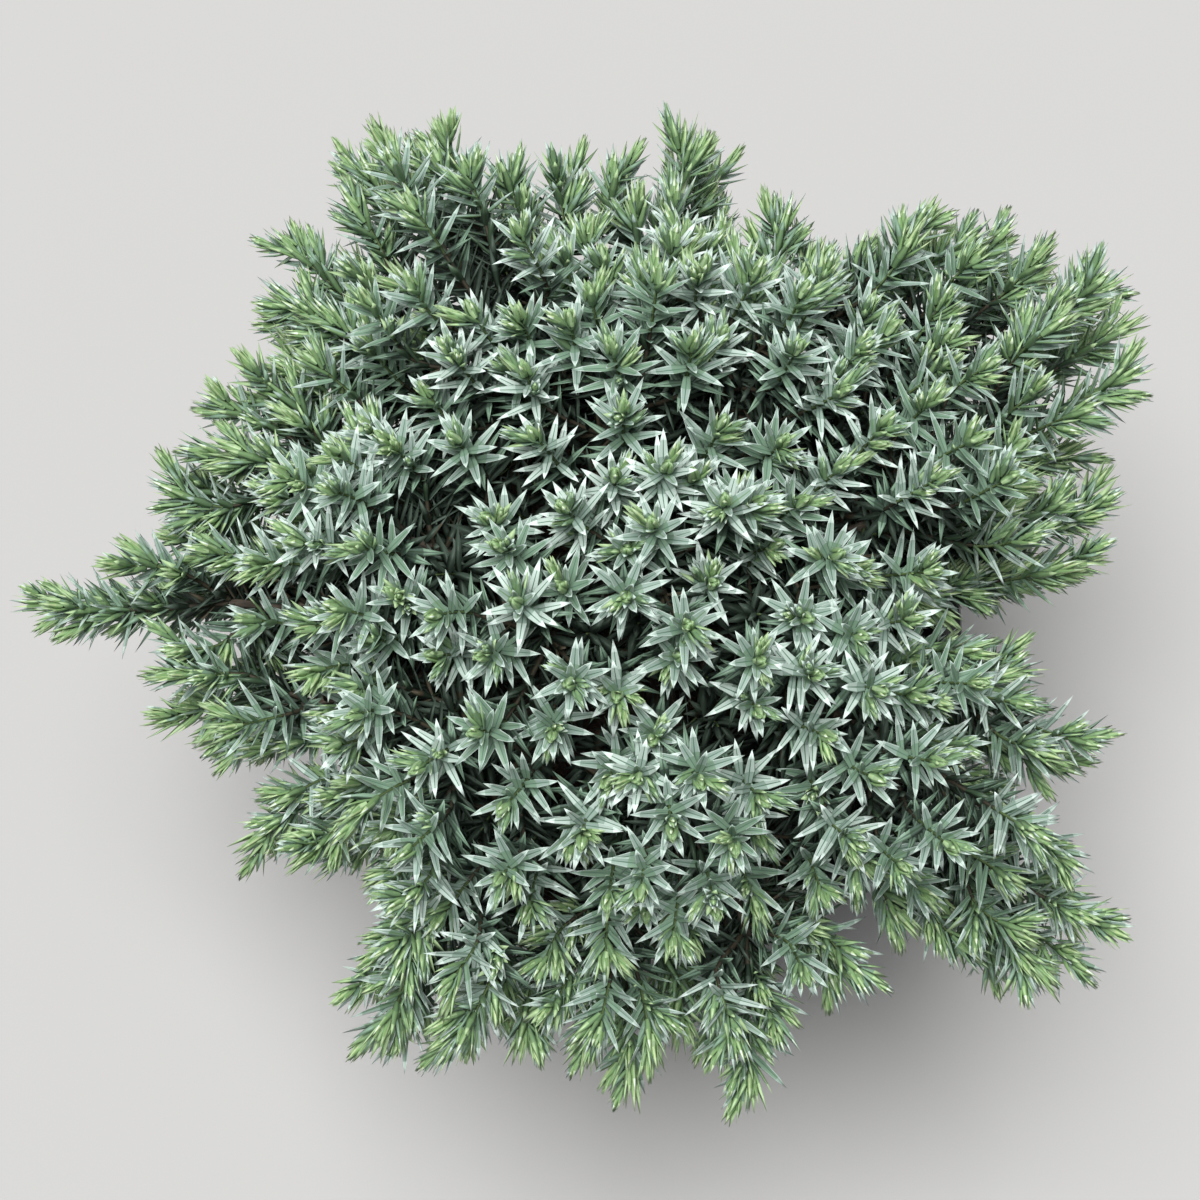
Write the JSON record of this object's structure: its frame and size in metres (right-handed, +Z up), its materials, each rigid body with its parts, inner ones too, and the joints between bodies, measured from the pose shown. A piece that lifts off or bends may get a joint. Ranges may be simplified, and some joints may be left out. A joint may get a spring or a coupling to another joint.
{
  "type": "potted conifer",
  "caption": "Dwarf blue juniper in a plain round nursery pot: a low, broad dome of star-shaped sprays of short, stiff needles.",
  "frame": {"origin": "middle of the pot's flat underside", "axes": "+Z up the trunk; the crown's widest lobe points along -X"},
  "size_m": [0.2273, 0.2017, 0.2146],
  "materials": {
    "pot_plastic": "matte, moulded",
    "potting_mix": "crumbly, damp",
    "bark": "rough, flaking bark",
    "needles": "waxy bloom, silver-blue"
  },
  "bodies": {
    "root": {"pot": "pot_plastic", "potting_mix": "potting_mix", "trunk": "bark", "bough_low_01": "bark", "bough_low_02": "bark", "bough_low_03": "bark", "bough_low_04": "bark", "bough_low_05": "bark", "bough_low_06": "bark", "bough_low_07": "bark", "bough_low_08": "bark", "bough_low_09": "bark", "bough_low_10": "bark", "bough_low_11": "bark", "bough_low_12": "bark", "bough_low_13": "bark", "bough_low_14": "bark", "bough_low_15": "bark", "bough_low_16": "bark", "bough_mid_01": "bark", "bough_mid_02": "bark", "bough_mid_03": "bark", "bough_mid_04": "bark", "bough_mid_05": "bark", "bough_mid_06": "bark", "bough_mid_07": "bark", "bough_top_01": "bark", "bough_top_02": "bark", "bough_top_03": "bark", "foliage_low_01": "needles", "foliage_low_02": "needles", "foliage_low_03": "needles", "foliage_low_04": "needles", "foliage_low_05": "needles", "foliage_low_06": "needles", "foliage_low_07": "needles", "foliage_low_08": "needles", "foliage_low_09": "needles", "foliage_low_10": "needles", "foliage_low_11": "needles", "foliage_low_12": "needles", "foliage_low_13": "needles", "foliage_low_14": "needles", "foliage_low_15": "needles", "foliage_low_16": "needles", "foliage_mid_01": "needles", "foliage_mid_02": "needles", "foliage_mid_03": "needles", "foliage_mid_04": "needles", "foliage_mid_05": "needles", "foliage_mid_06": "needles", "foliage_mid_07": "needles", "foliage_top_01": "needles", "foliage_top_02": "needles", "foliage_top_03": "needles", "foliage_leader": "needles"}
  },
  "joints": []
}
